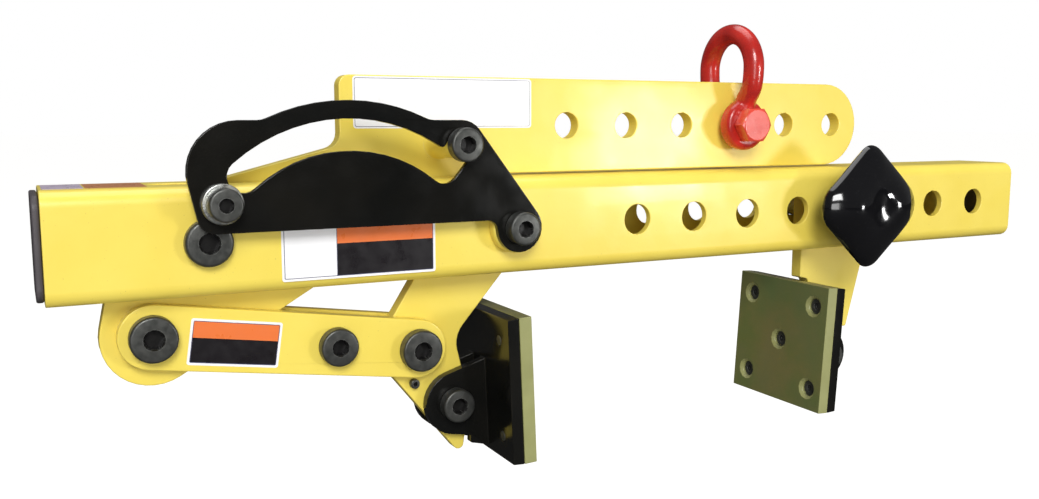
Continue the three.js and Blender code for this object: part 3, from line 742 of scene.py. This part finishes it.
def melt(piece, voxel, smoothing):
    """Joins a piece's overlapping solids into one skin and softens the creases between them."""
    remesh = piece.modifiers.new("skin", "REMESH")
    remesh.mode = "VOXEL"
    remesh.voxel_size = voxel
    soft = piece.modifiers.new("soft", "SMOOTH")
    soft.factor = 0.5
    soft.iterations = smoothing
    bpy.context.view_layer.update()
    evaluated = piece.evaluated_get(bpy.context.evaluated_depsgraph_get())
    melted = bpy.data.meshes.new_from_object(evaluated)
    piece.modifiers.clear()
    piece.data = melted
    melted.shade_smooth()


def shackle_bolt():
    """A red hexagon-head bolt with a threaded end."""
    low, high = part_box("shackle_bolt")
    centre = (low + high) / 2
    flats = high.z - low.z
    full = hexagon(flats)
    seat = low.y + 12 * MM
    shank = 9.4 * MM
    tail = high.y
    rings = [(low.y, 0.2 * MM)] + chamfer_rings(low.y, flats)
    rings += [(seat - 0.6 * MM, full), (seat, smaller(full, flats / 2 * 1.08)), (seat, shank)]
    rings += [(tail - 27 * MM, shank)] + thread(tail - 27 * MM, tail - 1.5 * MM, shank)
    rings += [(tail, shank - 1.6 * MM), (tail, 0.2 * MM)]
    bolt = stand_for(turned("shackle_bolt_fine", centre, rings), "shackle_bolt")
    # the brighter bolt red: painted light on the hex head, over smoother paint
    bolt.data.materials[0] = finishes["red_bolt"]


def split_pin():
    """A bent-wire split pin with a round eye at one end and spread legs at the other."""
    low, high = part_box("shackle_cotter")
    centre = (low + high) / 2
    wire = 0.8 * MM
    reach = (high.x - low.x) / 2
    legs = []
    for side in (1, -1):
        legs.append([(reach - 1 * MM, side * 4.5 * MM), (reach - 4 * MM, side * 1.4 * MM),
                     (reach - 7 * MM, side * wire), (-reach + 5 * MM, side * wire)])
    loop = [(-reach + 2.5 * MM + 2.5 * MM * math.cos(turn), 2.5 * MM * math.sin(turn))
            for turn in (math.radians(angle) for angle in (60, 110, 180, 250, 300))]
    corners = legs[0] + loop + legs[1][::-1]
    path = smooth_path([centre + Vector((x, 0, z)) for x, z in corners])
    vertices, faces = swept(path, wire, sides=12)
    stand_for(new_piece("shackle_cotter_fine", vertices, faces), "shackle_cotter")


# ---------------------------------------------------------------- weld beads


def weld_bead(name, start, end, toe, body, radius=1.3 * MM):
    """A rippled bead along the inside corner between two plates, leaning towards its toe."""
    along = end - start
    length = along.length
    count = max(4, round(length / (0.5 * MM)))
    path = [start + along * step / count for step in range(count + 1)]
    vertices, faces = swept(path, radius, sides=14)
    ripple = TAU / (2.6 * MM)
    lean = 0.8 / MM  # how far the ripples run ahead at the toe, in radians for each metre
    swelling = 0.10
    shaped = []
    for vertex in vertices:
        distance = (vertex - start).dot(along) / length
        on_axis = start + along * distance / length
        swell = 1 + swelling * math.sin(ripple * distance + lean * (vertex - on_axis).dot(toe))
        shaped.append(on_axis + (vertex - on_axis) * swell)
    bead = new_piece(name, shaped, faces)
    bead.data.materials.append(finishes["black_paint"])
    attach(bead, body)


def jaw_frame(jaw):
    """The jaw's own axes in the row frame: its pin is the origin and its pad is towards +X."""
    pin = middle(f"{jaw}_bolt")
    towards = middle(f"{jaw}_pad_screw_3") - pin
    towards.y = 0
    screw_rise = 14.5 * MM
    lean = math.asin(screw_rise / towards.length)
    heading = math.atan2(towards.z, towards.x)
    turned_round = towards.x < 0
    tilt = heading - lean if not turned_round else heading - math.pi + lean
    matrix = Matrix.Translation((pin.x, 0, pin.z)) @ Matrix.Rotation(-tilt, 4, "Y")
    if turned_round:
        matrix = matrix @ Matrix.Rotation(math.pi, 4, "Z")
    return matrix


def jaw_welds():
    """Beads along the outside of each ear where it meets the backing plate."""
    plate_back = 29.5 * MM
    ear_face = 15.2 * MM
    low, high = -40 * MM, 33 * MM
    for jaw in ("moving_jaw", "fixed_jaw"):
        place = jaw_frame(jaw)
        for side in (-1, 1):
            ends = [place @ Vector((plate_back, side * ear_face, z)) for z in (low, high)]
            toe = place.to_3x3() @ Vector((0, side, 0))
            which = "front" if ends[0].y < 0 else "back"
            weld_bead(f"{jaw}_weld_{which}", ends[0], ends[1], toe, jaw)


# ---------------------------------------------------------------- labels


# How far each layer of a label stands out from the surface under it.
SHEET = 0.15 * MM
OUTLINE = 0.17 * MM
PRINT = 0.20 * MM


def rounded_rectangle(width, height, corner, steps=5):
    points = []
    for quarter in range(4):
        x_side = 1 if quarter in (0, 3) else -1
        z_side = 1 if quarter in (0, 1) else -1
        for step in range(steps + 1):
            angle = TAU / 4 * (quarter + step / steps)
            points.append((x_side * (width / 2 - corner) + corner * math.cos(angle),
                           z_side * (height / 2 - corner) + corner * math.sin(angle)))
    return points


def film(name, place, centre, size, corner, depth, colour, body):
    """A thin sheet of printed film. Its own axes are across, up and out of the surface it is stuck to."""
    outline = rounded_rectangle(size[0], size[1], corner)
    count = len(outline)
    vertices = [place @ Vector((centre[0] + x, centre[1] + z, level))
                for level in (0.0, depth) for x, z in outline]
    faces = [tuple(range(count)), tuple(range(2 * count - 1, count - 1, -1))]
    faces += [(i, (i + 1) % count, count + (i + 1) % count, count + i) for i in range(count)]
    sheet = new_piece(name, vertices, faces)
    sheet.data.materials.append(vinyl[colour])
    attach(sheet, body)


def on_front(x, y, z, tilt=0.0):
    """A place on a surface that faces the latch side: across is +X turned by the tilt, out is -Y."""
    axes = Matrix(((1, 0, 0, x), (0, 0, -1, y), (0, 1, 0, z), (0, 0, 0, 1)))
    return axes @ Matrix.Rotation(tilt, 4, "Z")


def banded_label(name, place, size, body, picture=0.0):
    """A blank notice: an orange band over a black one in a thin dark line, with a white field at its left."""
    width, height = size
    rim = 2.2 * MM
    film(f"{name}_sheet", place, (0, 0), size, 1.8 * MM, SHEET, "white", body)
    left = -width / 2 + rim + picture
    band_width = width / 2 - rim - left
    middle_x = left + band_width / 2
    line = 0.5 * MM
    inner = (width - 2 * rim, height - 2 * rim)
    film(f"{name}_outline", place, (0, 0), (inner[0] + 2 * line, inner[1] + 2 * line), 1.0 * MM,
         OUTLINE, "slate", body)
    if picture:
        film(f"{name}_field", place, (-width / 2 + rim + (picture - line) / 2, 0),
             (picture - line, inner[1]), 0.6 * MM, PRINT, "white", body)
    orange = 0.40 * (height - 2 * rim)
    black = height - 2 * rim - orange
    film(f"{name}_upper", place, (middle_x, height / 2 - rim - orange / 2), (band_width, orange), 0.2 * MM,
         PRINT, "orange", body)
    film(f"{name}_lower", place, (middle_x, -height / 2 + rim + black / 2), (band_width, black), 0.2 * MM,
         PRINT, "black", body)


def labels():
    arm_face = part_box("lift_arm")[0].y
    place = on_front(295 * MM, arm_face, 95.5 * MM)
    film("name_label_sheet", place, (0, 0), (150 * MM, 39 * MM), 2.5 * MM, SHEET, "white", "arm")
    film("name_label_line", place, (0, 0), (147.6 * MM, 36.6 * MM), 1.8 * MM, 0.18 * MM, "slate", "arm")
    film("name_label_field", place, (0, 0), (146.8 * MM, 35.8 * MM), 1.6 * MM, 0.21 * MM, "white", "arm")
    tube_low, tube_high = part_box("beam_tube")
    notice = on_front(214 * MM, tube_low.y, -9.5 * MM)
    banded_label("notice_label", notice, (116 * MM, 43 * MM), "beam", picture=38 * MM)
    link_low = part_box("link_front")[0].y
    start, end = middle("link_arm_bolt"), middle("link_jaw_bolt")
    tilt = math.atan2(end.z - start.z, end.x - start.x)
    pinch = on_front(126.2 * MM, link_low, -76.2 * MM, tilt)
    banded_label("link_label", pinch, (64.5 * MM, 33.5 * MM), "link")
    top = Matrix.Translation((37 * MM, 0, tube_high.z))
    film("top_label_pale", top, (-17.5 * MM, 0), (25 * MM, 48 * MM), 1.5 * MM, SHEET, "lilac", "beam")
    film("top_label_orange", top, (15 * MM, 0), (38 * MM, 48 * MM), 1.5 * MM, SHEET, "brown", "beam")


# ---------------------------------------------------------------- studio


def studio():
    camera = bpy.data.objects.new("camera", bpy.data.cameras.new("camera"))
    camera.data.sensor_width = 36
    camera.data.lens = 34.29
    camera.data.clip_start = 0.01
    dip = math.radians(7.488)  # below level
    heading = math.radians(26.973)  # to the right of +Y
    camera.location = (-0.00725, -0.72685, 0.08275)
    camera.rotation_euler = Euler((TAU / 4 - dip, 0, -heading))
    scene.collection.objects.link(camera)
    scene.camera = camera

    floor_mesh = bpy.data.meshes.new("floor")
    reach = 30.0
    drop = cad_bounds[0][2] - 0.16
    corners = [(-reach, -reach, drop), (reach, -reach, drop), (reach, reach, drop), (-reach, reach, drop)]
    floor_mesh.from_pydata(corners, [], [(0, 1, 2, 3)])
    floor = bpy.data.objects.new("floor", floor_mesh)
    scene.collection.objects.link(floor)
    paper = Finish("floor_paper")
    rays = paper.add("ShaderNodeLightPath").outputs
    seen = rays["Is Camera Ray"]
    paper.set(Base_Color=paper.mix(rays["Is Glossy Ray"], (0.30, 0.29, 0.27), (0.05, 0.05, 0.05)))
    paper.set(Roughness=0.9, Specular_IOR_Level=0.1)
    paper.set(Emission_Color=(1.0, 1.0, 1.0), Emission_Strength=paper.remap(seen, 0.0, 1.0, 0.0, 0.90))
    floor_mesh.materials.append(paper.material)

    lamp("key", (-0.60, -2.6, 1.55), (0.45, 0.0, 0.0), 1.1, 68)
    lamp("fill", (-0.55, -2.3, 0.1), (0.5, 0.0, 0.0), 0.7, 9)
    lamp("top", (0.55, 0.25, 1.7), (0.55, 0.0, 0.0), 1.4, 15)
    lamp("right", (1.9, -2.1, 0.0), (0.8, 0.0, 0.0), 0.35, 15)
    surroundings()
    scene.view_settings.view_transform = "Standard"


def surroundings():
    """White behind the object, and a dimmer room that lights it and that its glossy faces mirror."""
    world = bpy.data.worlds.new("studio")
    world.use_nodes = True
    tree = world.node_tree
    path = tree.nodes.new("ShaderNodeLightPath")
    strength = tree.nodes["Background"].inputs["Strength"]
    tree.nodes["Background"].inputs["Color"].default_value = (1.0, 1.0, 1.0, 1)
    levels = {"Is Camera Ray": 1.0, "Is Diffuse Ray": 0.34, "Is Glossy Ray": 0.10}
    total = None
    for ray, level in levels.items():
        share = tree.nodes.new("ShaderNodeMath")
        share.operation = "MULTIPLY_ADD"
        tree.links.new(path.outputs[ray], share.inputs[0])
        share.inputs[1].default_value = level
        share.inputs[2].default_value = 0.0
        if total:
            tree.links.new(total, share.inputs[2])
        total = share.outputs[0]
    tree.links.new(total, strength)
    scene.world = world


def lamp(name, place, aim, size, watts):
    light = bpy.data.objects.new(name, bpy.data.lights.new(name, "AREA"))
    light.data.shape = "SQUARE"
    light.data.size = size
    light.data.energy = watts
    light.location = place
    light.rotation_euler = (Vector(aim) - Vector(place)).to_track_quat("-Z", "Y").to_euler()
    scene.collection.objects.link(light)


plates()
fasteners()
latch_roller()
latch_knob()
adjusting_pin()
adjusting_knob()
shackle_bow()
shackle_bolt()
split_pin()
jaw_welds()
labels()
studio()
